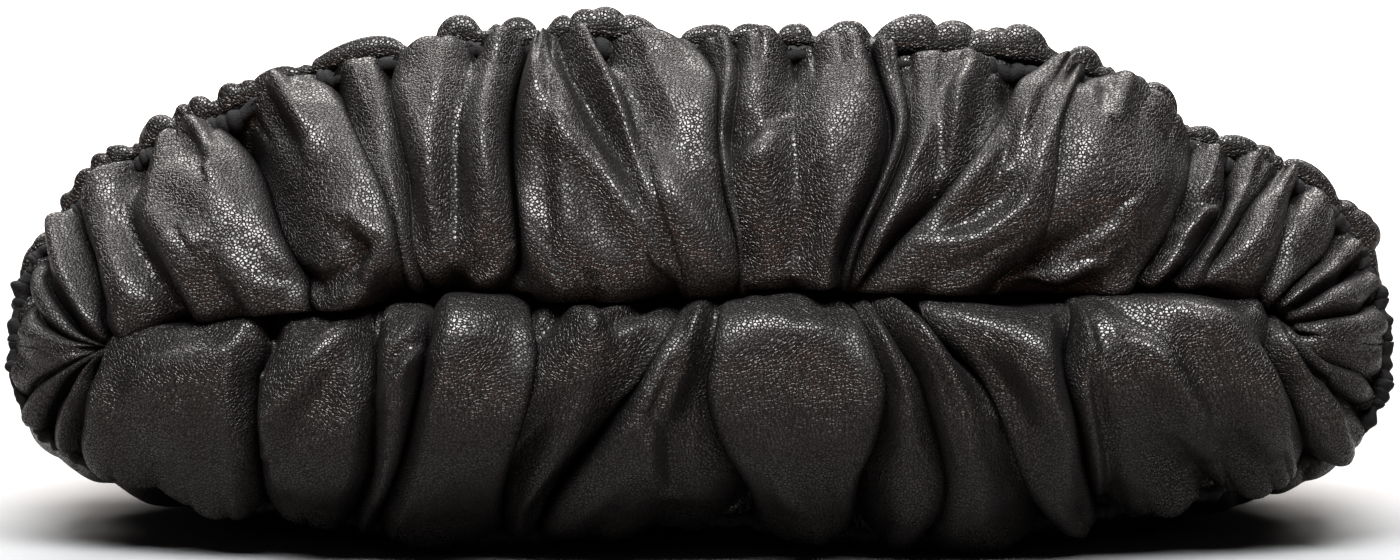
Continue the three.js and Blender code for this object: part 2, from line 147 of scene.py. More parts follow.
def bandForm(share, along, side, panel):
    # A band rolls from its lip, under and forward, up and over to its seam. Below 0 along it
    # is the facing behind the lip.
    lip = mouthPoint(share, side)
    edge = seamPoint(share, side, panel)
    end = np.abs(share) ** 6
    angle = mix(-quarterTurn, bag["topAngle"], np.maximum(along, 0))
    turned = (1 + np.sin(angle)) / (1 + math.sin(bag["topAngle"]))
    climbed = turned ** mix(panel["hang"], 1.2, end)
    length = np.hypot(edge[..., 0] - lip[..., 0], edge[..., 2] - lip[..., 2]) / panel["rise"]
    length = np.minimum(length, 1)
    lobe = mix(panel["lobe"] * length, panel["endLobe"], end)
    forward = np.where(angle > 0, np.cos(angle) ** panel["recede"], np.cos(angle))
    pullBack = edge[..., 1] - lip[..., 1] + lobe * math.cos(bag["topAngle"]) ** panel["recede"]
    behind = np.maximum(-along, 0)
    hidden = ease(behind / 0.28)
    parting = (bag["facingGap"] - bag["lipGap"]) / 2 * hidden * (1 - np.abs(share) ** 12)
    risen = panel["lipRise"] * (1 - hidden) * (1 - climbed)
    risen = risen * (1 - ease((np.abs(share) - 0.55) / 0.25))
    return points(
        mix(lip[..., 0], edge[..., 0], climbed),
        lip[..., 1] - lobe * forward + pullBack * turned ** 2 + bag["facing"] * behind,
        mix(lip[..., 2], edge[..., 2], climbed) + side * parting + risen,
    )


def faceForm(share, along, side, panel):
    # A face runs from its elastic seam to the base seam, the lower one flat on the floor
    start = seamPoint(share, side, panel)
    start[..., 1] += bag["seamWidth"]
    base = basePoint(share, panel)
    base[..., 2] += side * (bag["seamWidth"] / 2 + 0.3 * mm)
    way = np.clip(along, 0, 1) * quarterTurn
    across = np.sin(way) ** (2 / panel["profile"])
    height = np.maximum(0, np.cos(way)) ** (2 / panel["profile"])
    point = mix(start, base, across[..., None])
    if side > 0:
        point[..., 2] = mix(base[..., 2], start[..., 2], height)
    else:
        lowest = mix(-panel["tuck"], start[..., 2] + 2 * mm, np.abs(share) ** 1.2)
        rising = (start[..., 2] - lowest) * (1 - ease(across * 4))
        point[..., 2] = mix(base[..., 2], lowest, height) + rising
    return point


def softNoise(shape, columns, rows):
    # Seeded noise, smoothed over so many columns and rows, with a spread of one
    field = np.fft.rfft2(random.standard_normal(shape))
    high = np.fft.fftfreq(shape[0])[:, None] * columns
    wide = np.fft.rfftfreq(shape[1])[None, :] * rows
    field = np.fft.irfft2(field * np.exp(-2 * (math.pi ** 2) * (high ** 2 + wide ** 2)), shape)
    return field / field.std()


def smoothRows(values, rows):
    reach = int(3 * rows)
    weights = np.exp(-0.5 * (np.arange(-reach, reach + 1) / rows) ** 2)
    padded = np.pad(values, ((0, 0), (reach, reach)), mode="edge")
    return np.stack([np.convolve(line, weights / weights.sum(), "valid") for line in padded])


def foldPlaces(folds, rows):
    # Places of every crease on every row, from its places at five stations
    stations = np.linspace(0, 1, 5)
    way = np.clip(rows, 0, 1)
    middle = np.stack([np.interp(way, stations, fold["path"]) for fold in folds])
    middle += 0.004 * np.sin(14 * middle + 7 * way + 1) + 0.003 * np.sin(31 * middle - 13 * way)
    edges = np.ones(len(rows))
    return np.vstack([-edges, smoothRows(middle, 3), edges])


def pleatGrid(panel, form, side):
    # Columns of the mesh, closer beside the creases, and the pleat that owns each of them
    rows = panel["rows"]
    places = foldPlaces(panel["folds"], rows)
    along = np.broadcast_to(rows, places.shape)
    crease = form(places, along, side, panel)
    widths = np.linalg.norm(np.diff(crease, axis=0), axis=-1)
    columns, owners = [], []
    for index in range(len(places) - 1):
        count = max(5, round(widths[index].max() / panel["spacing"]))
        part = np.arange(count) / count
        part = mix(part, 0.5 - 0.5 * np.cos(part * math.pi), 0.45)
        columns.append(mix(places[index], places[index + 1], part[:, None]))
        owners.append(np.full(count, index))
    share = np.vstack([*columns, places[-1:]])
    owner = np.concatenate([*owners, [len(places) - 2]])
    return share, owner


def archFall(value):
    # 1 in the crease and 0 past the shoulder, with a round shoulder and a sharp crease
    near = np.clip(value, 0, 1)
    return 1 - np.sqrt(1 - (1 - near) ** 2)


def roundOff(value):
    # Rises from 0 at an edge the way a pillow does
    near = np.clip(value, 0, 1)
    return np.sqrt(1 - (1 - near) ** 2)


def softFall(value):
    return 1 - ease(np.clip(value, 0, 1))


def dentShape(base, panel, dent, form, side):
    # A short fold across a pleat: a groove along a line, steep towards a soft ridge beside it
    way = np.linspace(0, 1, 13)
    line = np.array(dent["line"])
    stops = np.linspace(0, 1, len(line))
    ends = form(np.interp(way, stops, line[:, 0]), np.interp(way, stops, line[:, 1]), side, panel)
    nearest = np.full(base.shape[:2], np.inf)
    across = np.zeros(base.shape[:2])
    place = np.zeros(base.shape[:2])
    for index in range(len(ends) - 1):
        step = ends[index + 1] - ends[index]
        share = np.clip(((base - ends[index]) @ step) / (step @ step), 0, 1)
        apart = base - ends[index] - share[..., None] * step
        gap = np.linalg.norm(apart, axis=-1)
        beside = np.sign(step[2] * apart[..., 0] - step[0] * apart[..., 2])
        closer = gap < nearest
        nearest = np.where(closer, gap, nearest)
        across = np.where(closer, beside * gap, across)
        place = np.where(closer, (index + share) / (len(ends) - 1), place)
    width = dent["width"] * mm
    taper = np.sqrt(np.clip(np.sin(math.pi * mix(0.06, 0.94, place)), 0, 1))
    ridge = dent.get("ridge", 1)
    beside = across * ridge / width
    groove = np.where(beside > 0, np.exp(-3 * beside ** 2), np.exp(-0.55 * beside ** 2))
    groove = groove * np.exp(-np.maximum(0, nearest / width - np.abs(beside)) ** 2)
    raised = 0.7 * np.exp(-(((beside - 1.35) / 1.1) ** 2)) * np.exp(-((nearest / width / 3.2) ** 4))
    return dent["depth"] * mm * taper * 1.3 * (groove - raised)


def lowestNear(values, columns, rows):
    # The lowest value so many columns and rows around, so that the lining stays inside
    low = values.copy()
    for axis, reach in ((0, columns), (1, rows)):
        start = low.copy()
        for step in range(1, reach + 1):
            ahead, behind = start.copy(), start.copy()
            if axis == 0:
                ahead[:-step], behind[step:] = start[step:], start[:-step]
            else:
                ahead[:, :-step], behind[:, step:] = start[:, step:], start[:, :-step]
            low = np.minimum(low, np.minimum(ahead, behind))
    return low


lips = {
    "soft": 0.7 * mm,
    "straight": 125 * mm, "fade": 20 * mm,  # past this from the middle they round off again
    "line": np.array([  # place along the bag, mm above the mouth line: a step at each lower pleat
        (-1.0, 0.0), (-0.84, 0.0), (-0.69, 2.6), (-0.386, 2.6), (-0.372, 4.6), (-0.243, 4.6),
        (-0.228, 2.1), (-0.022, 2.1), (-0.008, 3.6), (0.06, 3.6), (0.074, 4.8), (0.195, 4.8),
        (0.209, 3.1), (0.69, 3.1), (0.84, 0.0), (1.0, 0.0),
    ]),
}


def lipPress(skin, side):
    # The lips flatten against each other, so neither passes the line between them
    share = np.linspace(-1, 1, 401)
    mouth = mouthPoint(share, 0)
    level = np.interp(skin[..., 0], mouth[:, 0], mouth[:, 2])
    level += tableValue(lips["line"], 1, skin[..., 0] / bag["halfLength"]) * mm
    past = (level - skin[..., 2]) * side / lips["soft"]
    reach = 1 - ease((np.abs(skin[..., 0]) - lips["straight"]) / lips["fade"])
    return side * reach * lips["soft"] * np.logaddexp(0, past)


def surfaceFrame(panel, form, side, share, rows):
    # The plain form, with its directions along the bag and out of the panel
    step = 0.003
    base = form(share, rows, side, panel)
    sideways = (form(np.minimum(share + step, 1), rows, side, panel)
                - form(np.maximum(share - step, -1), rows, side, panel))
    upwards = (form(share, np.minimum(rows + step, 1), side, panel)
               - form(share, np.maximum(rows - step, rows.min()), side, panel))
    outward = np.cross(sideways, upwards) * side
    outward[..., 2] *= 1 - ease((np.abs(share) - 0.9) / 0.1)
    outward /= np.linalg.norm(outward, axis=-1, keepdims=True) + tiny
    sideways /= np.linalg.norm(sideways, axis=-1, keepdims=True) + tiny
    return base, sideways, outward


creaseShape = {
    "drift": {"mean": 0.95, "spread": 0.22, "least": 0.4, "most": 1.4},  # of the depth along it
    "fade": 0.22,  # share of the way over which it starts or ends
    "mouthFade": {"least": 0.25, "from": 0.1, "over": 0.3},
    "shoulder": {"under": 1.25, "over": 0.5, "plain": 0.68},  # of the widths in the fold tables
    "widest": 0.62, "deepest": 0.6,  # of the width of the pleat
    "softUnder": 0.1,  # the side that lies under the other falls softly
    "archFrom": 0.45,
    "line": 2.2 * mm, "fullShadeDepth": 7,  # the painted shade line in it, full from this depth in mm
    "hump": 1.7, "narrow": 8 * mm,  # a pleat narrower than this is laid over less
}


def creaseFade(fold, rows):
    start, end = fold.get("start", 0), fold.get("end", 1)
    near = creaseShape["mouthFade"]
    if start > 0:
        fade = ease((rows - start) / creaseShape["fade"])
    else:
        fade = mix(near["least"], 1, ease((rows - near["from"]) / near["over"]))
    return fade * (ease((end - rows) / creaseShape["fade"]) if end < 1 else 1)


def foldShape(panel, rows, owner, fromLeft, toRight):
    # How deep each point sinks towards its creases, how far it is laid over, and how much painted
    # shade its crease line gets
    width = fromLeft + toRight
    sunk, shift, crease = (np.zeros(width.shape) for _ in range(3))
    wave = creaseShape["drift"]
    drift = wave["mean"] + wave["spread"] * softNoise(width.shape, 26, 16)
    drift = np.clip(drift, wave["least"], wave["most"])
    room = np.minimum(width / creaseShape["narrow"], 1)
    for index, fold in enumerate(panel["folds"], 1):
        fade = creaseFade(fold, rows)
        lean = fold.get("lean", 0) * mm
        crisp = fold.get("crisp", 1 if lean else 0.7)
        for mine, gap, reach, push, under in (
            (owner == index - 1, toRight, fold["left"], max(lean, 0), lean < 0),
            (owner == index, fromLeft, fold["right"], min(lean, 0), lean > 0),
        ):
            kind = "under" if under else ("over" if lean else "plain")
            spread = reach * creaseShape["shoulder"][kind] * mm
            spread = np.minimum(spread, width * creaseShape["widest"]) + tiny
            depth = np.minimum(fold["depth"] * mm, width * creaseShape["deepest"]) * fade * drift
            near = gap / spread
            arched = crisp if crisp > creaseShape["archFrom"] else 0
            if under:
                arched = creaseShape["softUnder"]
            fall = mix(softFall(near), archFall(near), arched)
            sunk += np.where(mine[:, None], depth * fall, 0)
            # Painted shade: a dark line along the bottom of each crease, kept in the crease
            # attribute
            line = np.exp(-gap / creaseShape["line"]) * ease(crisp * 1.6 - 0.4)
            line = line * min(1, fold["depth"] / creaseShape["fullShadeDepth"])
            crease = np.maximum(crease, np.where(mine[:, None], fade * line, 0))
            hump = (1 - fall) * np.clip(1 - near, 0, 1) * creaseShape["hump"]
            shift += np.where(mine[:, None], push * fade * hump * room, 0)
    return sunk, shift, crease


gatherShape = {
    "wander": 1.8, "steady": 60,  # noise across and up the panel
    "quietFrom": 0.6, "quietOver": 0.35, "quiet": 0.92,  # weaker towards the ends of the bag
    "pillow": 13 * mm,
    "squareness": 2.4,
    "tipWidth": 16 * mm,  # a pleat of this width or more has fully rounded corners
}


def gatherFolds(panel, share, run, climb, width, corner):
    # Tight gathers, rounded pleat ends and a soft swelling beside each seam
    toSeam = climb[:, -1:] - climb
    tip = np.clip(1 - toSeam / (panel["tipLength"] * mm), 0, 1)
    tip = tip ** 1.5 * corner ** 2.5 * np.clip(width / gatherShape["tipWidth"], 0, 1)
    sunk = panel["tipDepth"] * mm * tip
    lift = np.zeros(share.shape)
    quiet = ease((np.abs(share) - gatherShape["quietFrom"]) / gatherShape["quietOver"])
    edges = [(toSeam, run[:, -1:])]
    if panel["bothEdges"]:
        edges.append((climb, run[:, :1]))
    for edge, around in edges:
        spacing = np.gradient(np.broadcast_to(around, run.shape), axis=0) + tiny
        room = np.clip(np.gradient(run, axis=0) / spacing, 0, 1)
        for gather in panel["gathers"]:
            across = gather["every"] / panel["spacing"] * mm * gatherShape["wander"]
            wander = softNoise(share.shape, across, gatherShape["steady"])
            phase = around / (gather["every"] * mm) + gather["wander"] * wander
            beside = np.abs(2 * (phase - np.floor(phase)) - 1)
            fade = ease(1 - edge / (gather["length"] * mm))
            fade = fade * room ** 1.5 * (1 - gatherShape["quiet"] * quiet)
            groove = 1 - np.sqrt(1 - beside ** gatherShape["squareness"])
            sunk += gather["depth"] * mm * groove * fade
        pillow = ease(1 - edge / gatherShape["pillow"]) * room * (1 - quiet)
        lift = lift + panel["pillow"] * pillow
    return sunk, lift


def tensionLines(panel, width):
    # Long lines up the pleats, and slow unevenness of the hide
    lift = np.zeros(width.shape)
    for wave in panel["waves"]:
        field = softNoise(width.shape, wave["across"] / panel["spacing"] * mm, wave["up"])
        if wave.get("slant"):
            # These run down towards the middle of the bag
            row = np.arange(width.shape[1])[None, :]
            column = np.arange(width.shape[0])[:, None]
            turn = np.where(column < width.shape[0] / 2, 1, -1)
            across = (column + turn * wave["slant"] * row).astype(int) % width.shape[0]
            field = np.take_along_axis(field, across, axis=0)
        if wave.get("ridged"):
            field = np.sqrt(field ** 2 + 0.06) - 0.8
        lift = lift + wave["height"] * mm * field * np.clip(width / (10 * mm), 0.2, 1)
    return lift


def puffShape(panel, share, climb):
    # Round puffs of the face that show above the front band
    bulge = np.zeros(share.shape)
    for puff in panel["puffs"]:
        reachAlong = (climb / mm - puff["back"]) / (puff["deep"] * 2)
        reachAcross = (share - puff["place"]) / (puff["wide"] * 1.25)
        dome = np.sqrt(np.maximum(0, 1 - reachAlong ** 2 - reachAcross ** 2))
        bulge = np.maximum(bulge, 0.62 * puff["height"] * mm * dome)
    return bulge


def edgeFades(panel, share, rows):
    # The relief dies out at the seams, at the lip and at both ends of the bag
    edgeFade = mix(0.35, 1, roundOff((1 - rows) / panel["edge"]))
    if panel["bothEdges"]:
        edgeFade = edgeFade * mix(0.2, 1, roundOff(rows / panel["edge"]))
    else:
        edgeFade = edgeFade * mix(0.15, 1, ease((rows + 0.02) / 0.12))
    return edgeFade, ease((1 - np.abs(share)) / panel["endFade"])


def pleatSkin(panel, form, side):
    # Outer and inner points of a panel: its plain form, moved by its folds and wrinkles
    share, owner = pleatGrid(panel, form, side)
    rows = np.broadcast_to(panel["rows"], share.shape)
    base, sideways, outward = surfaceFrame(panel, form, side, share, rows)
    steps = np.linalg.norm(np.diff(base, axis=0), axis=-1)
    run = np.vstack([np.zeros(steps.shape[1]), np.cumsum(steps, axis=0)])
    rises = np.linalg.norm(np.diff(base, axis=1), axis=-1)
    climb = np.hstack([np.zeros((len(share), 1)), np.cumsum(rises, axis=1)])
    firstColumn = np.searchsorted(owner, np.arange(owner.max() + 1))
    lastColumn = np.append(firstColumn[1:], len(owner) - 1)
    fromLeft = run - run[firstColumn[owner]]
    toRight = run[lastColumn[owner]] - run
    width = fromLeft + toRight
    corner = np.abs(fromLeft - toRight) / (width + tiny)

    sunk, shift, crease = foldShape(panel, rows, owner, fromLeft, toRight)
    fullness = np.minimum(width / (30 * mm), 1) * ease(rows / 0.25)
    lift = panel["puff"] * (1 - corner ** 2) * fullness
    for dent in panel["dents"]:
        sunk += dentShape(base, panel, dent, form, side)
    drawn, swollen = gatherFolds(panel, share, run, climb, width, corner)
    sunk += drawn
    lift = lift + swollen + tensionLines(panel, width)

    edgeFade, endFade = edgeFades(panel, share, rows)
    fade = edgeFade * endFade
    offset = (lift - sunk + puffShape(panel, share, climb)) * fade
    slide = sideways * (shift * fade)[..., None]
    skin = base + outward * offset[..., None] + slide
    lining = base + outward * (lowestNear(offset, 14, 5) - bag["wall"])[..., None] + slide
    if not panel["bothEdges"]:
        pressed = lipPress(skin, side)
        skin[..., 2] += pressed
        lining[..., 2] += pressed
    if side < 0:
        skin[..., 2] = np.maximum(skin[..., 2], 0)
        lining[..., 2] = np.maximum(lining[..., 2], bag["wall"])
    # The last value is the painted shade of the crease lines, faded at the edges
    return skin, lining, owner, np.clip(crease * edgeFade, 0, 1)


def panelMesh(name, panel, form, side):
    outer, lining, owner, crease = pleatSkin(panel, form, side)
    columns, rows = outer.shape[:2]
    # The inner skin takes few columns: each crease, and two or three across each crown
    first = np.searchsorted(owner, np.arange(owner.max() + 1))
    picks = set()
    for start, end in zip(first, [*first[1:], columns - 1]):
        picks.update(int(round(mix(start, end, at))) for at in (0, 0.25, 0.5, 0.75))
    picks = sorted(picks | {columns - 1})
    levels = sorted({*range(0, rows, 5), rows - 1})
    inner = lining[np.ix_(picks, levels)]
    vertices = np.vstack([outer.reshape(-1, 3), inner.reshape(-1, 3)])
    innerStart = columns * rows

    def outerAt(column, row):
        return column * rows + row

    def innerAt(column, row):
        return innerStart + column * len(levels) + row

    faces = []
    grid = np.arange(columns * rows).reshape(columns, rows)
    quads = np.stack([grid[:-1, :-1], grid[1:, :-1], grid[1:, 1:], grid[:-1, 1:]], -1)
    faces.extend(quads.reshape(-1, 4).tolist())
    for column in range(len(picks) - 1):
        for row in range(len(levels) - 1):
            faces.append([innerAt(column, row), innerAt(column, row + 1),
                          innerAt(column + 1, row + 1), innerAt(column + 1, row)])
        fine = range(picks[column], picks[column + 1] + 1)
        faces.append([outerAt(at, 0) for at in reversed(fine)]
                     + [innerAt(column, 0), innerAt(column + 1, 0)])
        last = len(levels) - 1
        faces.append([outerAt(at, rows - 1) for at in fine]
                     + [innerAt(column + 1, last), innerAt(column, last)])
    for row in range(len(levels) - 1):
        fine = range(levels[row], levels[row + 1] + 1)
        faces.append([outerAt(0, at) for at in fine] + [innerAt(0, row + 1), innerAt(0, row)])
        end = len(picks) - 1
        faces.append([outerAt(columns - 1, at) for at in reversed(fine)]
                     + [innerAt(end, row), innerAt(end, row + 1)])
    if side < 0:
        faces = [face[::-1] for face in faces]
    mesh = bpy.data.meshes.new(name)
    mesh.from_pydata(vertices.tolist(), [], faces)
    mesh.polygons.foreach_set("use_smooth", np.ones(len(mesh.polygons), bool))
    # The crease attribute carries the painted shade of the crease lines; the lining gets none
    depth = np.concatenate([crease.reshape(-1), np.zeros(len(vertices) - innerStart)])
    attribute = mesh.attributes.new("crease", "FLOAT", "POINT")
    attribute.data.foreach_set("value", depth.astype(np.float32))
    mesh.validate()
    piece = bpy.data.objects.new(name, mesh)
    bpy.context.collection.objects.link(piece)
    print(name, "faces:", len(mesh.polygons))
    return piece


# Upper band. A fold's path gives its place along the bag at five stations from the mouth to
# the seam. left and right are the widths of the two shoulders that fall into the crease, and
# a lean above 0 lays the left pleat over the crease, below 0 the right one. A dent's line
# gives places along the bag and up the panel. Depths, widths and lengths are millimetres.
upperBand = {
    "rise": 65 * mm, "roundness": 2.3, "setback": 17 * mm, "lobe": 24.5 * mm, "endLobe": 12 * mm,
    "hang": 1.6, "recede": 1.25, "lipRise": 1.2 * mm, "puff": 2.2 * mm,
    "spacing": 0.62 * mm, "edge": 0.05,
    "bothEdges": False, "pillow": 3 * mm, "tipLength": 15, "tipDepth": 8, "endFade": 0.025,
    "rows": np.concatenate([np.linspace(-1, -0.1, 6), np.linspace(0, 1, 104)]),
    "folds": [
        {"path": (-0.99, -0.985, -0.97, -0.94, -0.91), "depth": 4, "left": 4, "right": 9,
         "lean": 1},
        {"path": (-0.97, -0.955, -0.92, -0.87, -0.82), "depth": 5.5, "left": 5, "right": 12,
         "lean": 1},
        {"path": (-0.93, -0.87, -0.795, -0.745, -0.705), "depth": 8, "left": 11, "right": 9},
        {"path": (-0.61, -0.62, -0.632, -0.63, -0.575), "depth": 4, "left": 12, "right": 13,
         "crisp": 0.4, "start": 0.15},
        {"path": (-0.392, -0.403, -0.415, -0.442, -0.468), "depth": 11, "left": 8, "right": 22,
         "lean": 3},
        {"path": (-0.28, -0.286, -0.293, -0.318, -0.338), "depth": 10, "left": 8, "right": 9,
         "lean": 3},
        {"path": (-0.266, -0.27, -0.273, -0.272, -0.26), "depth": 5, "left": 5, "right": 8},
        {"path": (-0.238, -0.236, -0.23, -0.204, -0.173), "depth": 5, "left": 11, "right": 11,
         "crisp": 0.3, "start": 0.35},
        {"path": (-0.19, -0.184, -0.17, -0.149, -0.127), "depth": 7, "left": 9, "right": 9,
         "crisp": 0.8},
        {"path": (-0.02, -0.022, -0.03, -0.074, -0.106), "depth": 6, "left": 8, "right": 10,
         "crisp": 0.4, "start": 0.52},
        {"path": (-0.012, -0.013, -0.018, -0.045, -0.072), "depth": 5, "left": 6, "right": 15,
         "crisp": 0.3, "start": 0.56},
        {"path": (0.043, 0.038, 0.029, 0.006, -0.005), "depth": 9, "left": 7, "right": 11,
         "lean": 3},
        {"path": (0.049, 0.045, 0.036, 0.021, 0.015), "depth": 4, "left": 5, "right": 6,
         "start": 0.55},
        {"path": (0.094, 0.092, 0.086, 0.07, 0.06), "depth": 4, "left": 13, "right": 13,
         "crisp": 0.2, "start": 0.3},
        {"path": (0.134, 0.135, 0.14, 0.154, 0.13), "depth": 9, "left": 8, "right": 5},
        {"path": (0.142, 0.143, 0.149, 0.167, 0.158), "depth": 5, "left": 4, "right": 7},
        {"path": (0.148, 0.152, 0.192, 0.268, 0.303), "depth": 10, "left": 18, "right": 7,
         "lean": -3},
        {"path": (0.34, 0.34, 0.337, 0.326, 0.348), "depth": 5, "left": 9, "right": 9,
         "crisp": 0.7, "start": 0.5},
        {"path": (0.45, 0.457, 0.472, 0.487, 0.47), "depth": 10, "left": 7, "right": 13, "lean": 3},
        {"path": (0.52, 0.53, 0.541, 0.546, 0.538), "depth": 8, "left": 10, "right": 8},
        {"path": (0.575, 0.574, 0.572, 0.582, 0.625), "depth": 5, "left": 9, "right": 9,
         "crisp": 0.7, "start": 0.35},
        {"path": (0.74, 0.722, 0.697, 0.671, 0.655), "depth": 5, "left": 10, "right": 8},
        {"path": (0.79, 0.75, 0.752, 0.777, 0.768), "depth": 8, "left": 7, "right": 8, "lean": 2},
        {"path": (0.86, 0.84, 0.845, 0.86, 0.855), "depth": 5.5, "left": 12, "right": 5,
         "lean": -1},
        {"path": (0.94, 0.925, 0.925, 0.935, 0.93), "depth": 4.5, "left": 10, "right": 5,
         "lean": -1},
    ],
    "dents": [
        {"line": ((-0.137, 0.43), (-0.13, 0.62), (-0.12, 0.77)), "depth": 1.6, "width": 4},
        {"line": ((-0.42, 0.4), (-0.385, 0.36), (-0.343, 0.41)), "depth": 3, "width": 3},
        {"line": ((-0.343, 0.41), (-0.323, 0.48), (-0.343, 0.54)), "depth": 2.5, "width": 3},
        {"line": ((-0.377, 0.77), (-0.392, 0.88), (-0.405, 1.0)), "depth": 3, "width": 3},
        {"line": ((-0.052, 0.46), (-0.085, 0.58), (-0.12, 0.67)), "depth": 1.8, "width": 6},
        {"line": ((0.018, 0.69), (0.03, 0.71), (0.045, 0.74)), "depth": 2.5, "width": 5},
        {"line": ((0.272, 0.68), (0.272, 0.81), (0.272, 0.95)), "depth": 2.5, "width": 2.5},
        {"line": ((0.208, 0.67), (0.2, 0.84), (0.21, 0.94)), "depth": 2.5, "width": 3},
        {"line": ((0.305, 0.29), (0.353, 0.46), (0.4, 0.58)), "depth": 3, "width": 3.5},
        {"line": ((0.347, 0.37), (0.373, 0.43), (0.403, 0.48)), "depth": 2, "width": 2.5},
        {"line": ((0.495, 0.67), (0.51, 0.72), (0.54, 0.77)), "depth": 3, "width": 3},
        {"line": ((-0.495, 0.79), (-0.505, 0.9), (-0.518, 1.0)), "depth": 2.5, "width": 3},
        {"line": ((0.363, 0.82), (0.365, 0.89), (0.365, 0.98)), "depth": 2, "width": 2.5},
        {"line": ((-0.587, 0.08), (-0.603, 0.47), (-0.607, 0.62)), "depth": 1.5, "width": 4},
        {"line": ((-0.49, 0.1), (-0.505, 0.4), (-0.527, 0.52)), "depth": 2.2, "width": 5},
        {"line": ((-0.098, 0.1), (-0.103, 0.35), (-0.127, 0.45)), "depth": 1.2, "width": 4},
        {"line": ((-0.247, 0.13), (-0.225, 0.36), (-0.19, 0.43)), "depth": 1.6, "width": 4},
        {"line": ((0.198, 0.22), (0.225, 0.36), (0.268, 0.43)), "depth": 1.8, "width": 4},
        {"line": ((0.215, 0.51), (0.255, 0.54), (0.29, 0.61)), "depth": 2.2, "width": 4},
        {"line": ((0.26, 0.1), (0.34, 0.09), (0.42, 0.1)), "depth": -4, "width": 9, "ridge": -1},
    ],
    "gathers": [
        {"every": 10, "depth": 3.2, "length": 18, "wander": 0.7},
        {"every": 25, "depth": 1.5, "length": 26, "wander": 0.6},
    ],
    "waves": [
        {"across": 4, "up": 9, "height": 0.5},
        {"across": 9, "up": 12, "height": 1.5},
        {"across": 6, "up": 20, "height": 1.1, "slant": 0.9},
        {"across": 8, "up": 14, "height": 0.5, "ridged": True},
    ],
    "puffs": [],
}

